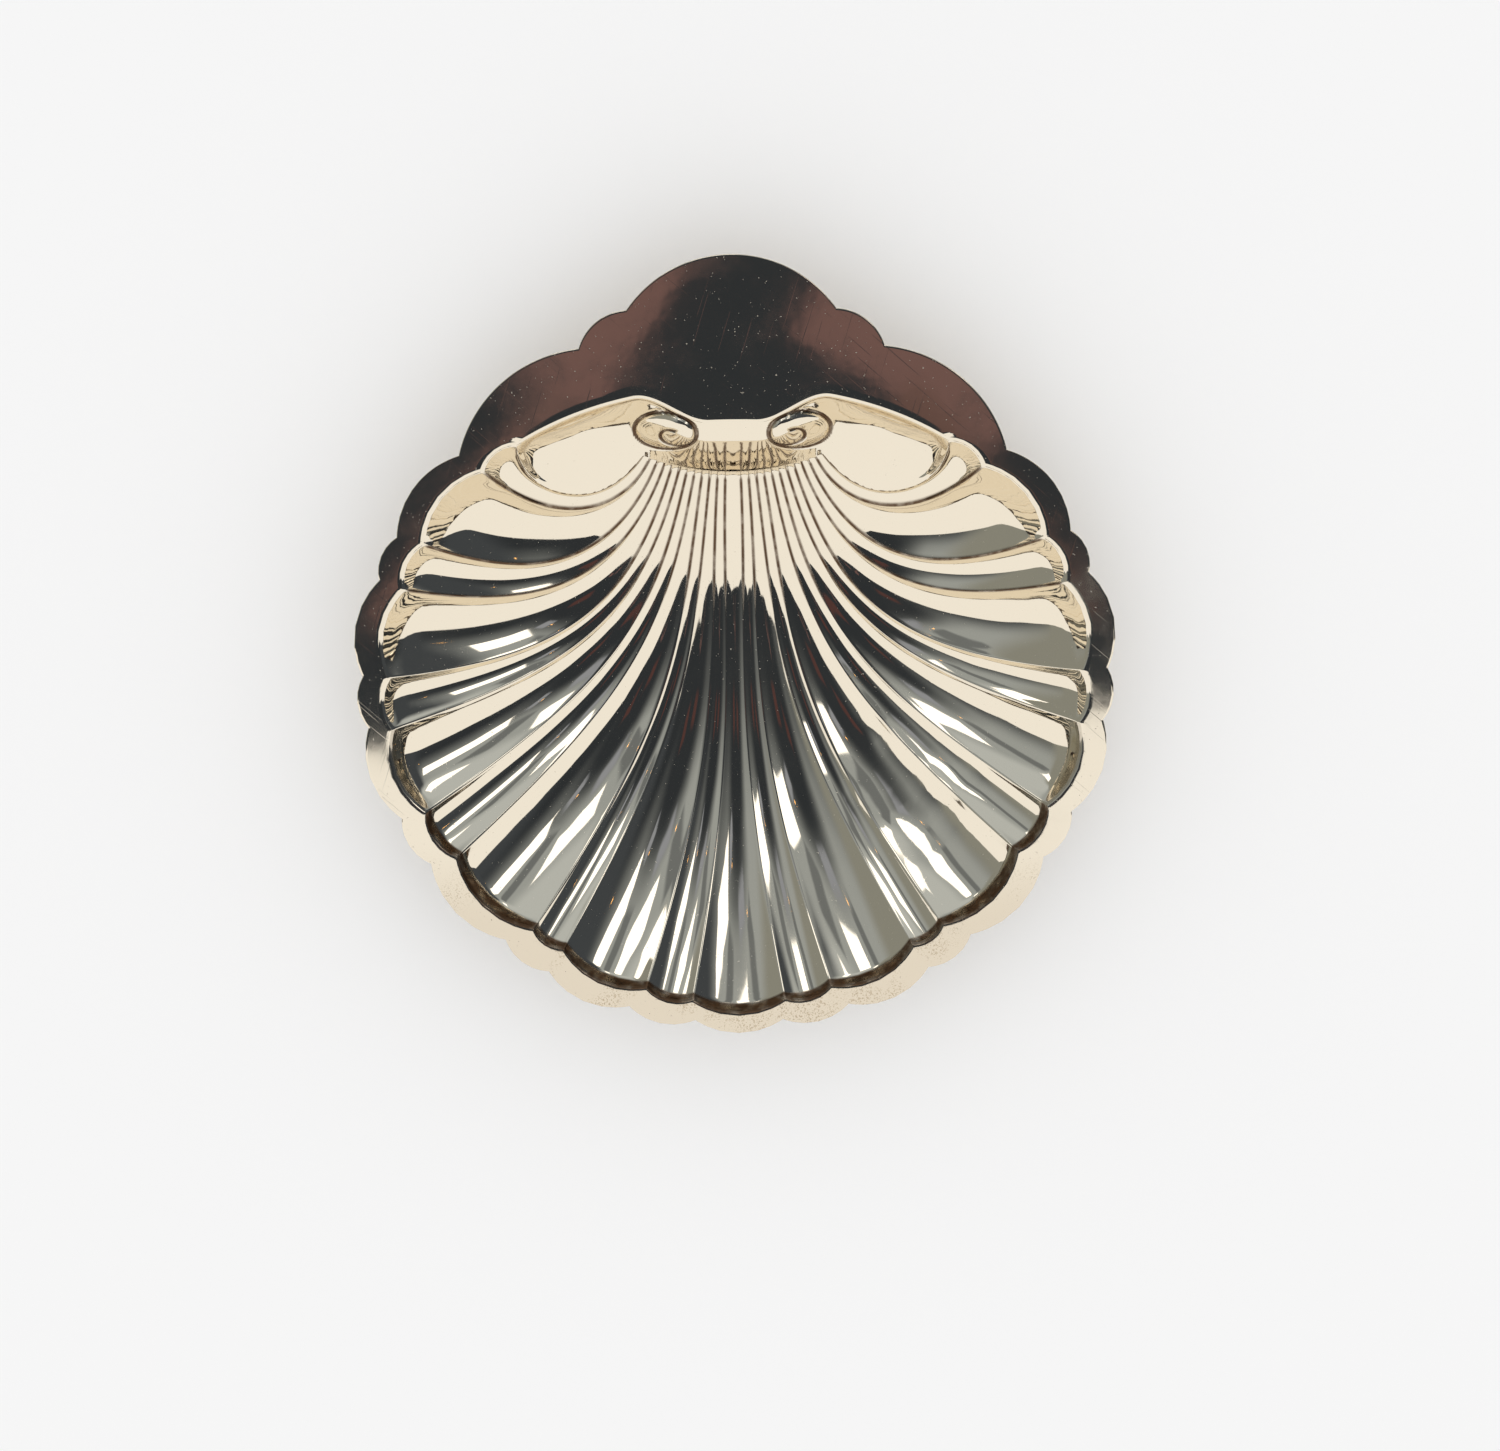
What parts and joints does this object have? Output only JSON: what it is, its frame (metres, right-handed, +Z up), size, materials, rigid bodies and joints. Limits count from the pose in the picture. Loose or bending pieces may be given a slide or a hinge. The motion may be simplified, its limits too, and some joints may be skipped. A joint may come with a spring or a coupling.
{
  "type": "shell-shaped bowl",
  "caption": "Shallow silver serving dish in the form of a scallop shell, with a fluted well, a flat lobed rim, a broad hinge tab and two spiral scrolls.",
  "frame": {"origin": "centre of the bounding box in plan, at the level of the surface that the dish stands on", "axes": "+Z up out of the open side, +Y towards the hinge tab, +X to the right with the tab at the far side; the dish is mirrored in the plane X = 0"},
  "size_m": [0.2, 0.2092, 0.0289],
  "materials": {
    "silver": "polished, lightly worn sheet silver"
  },
  "bodies": {
    "root": {"shell_bowl": "silver"}
  },
  "joints": []
}
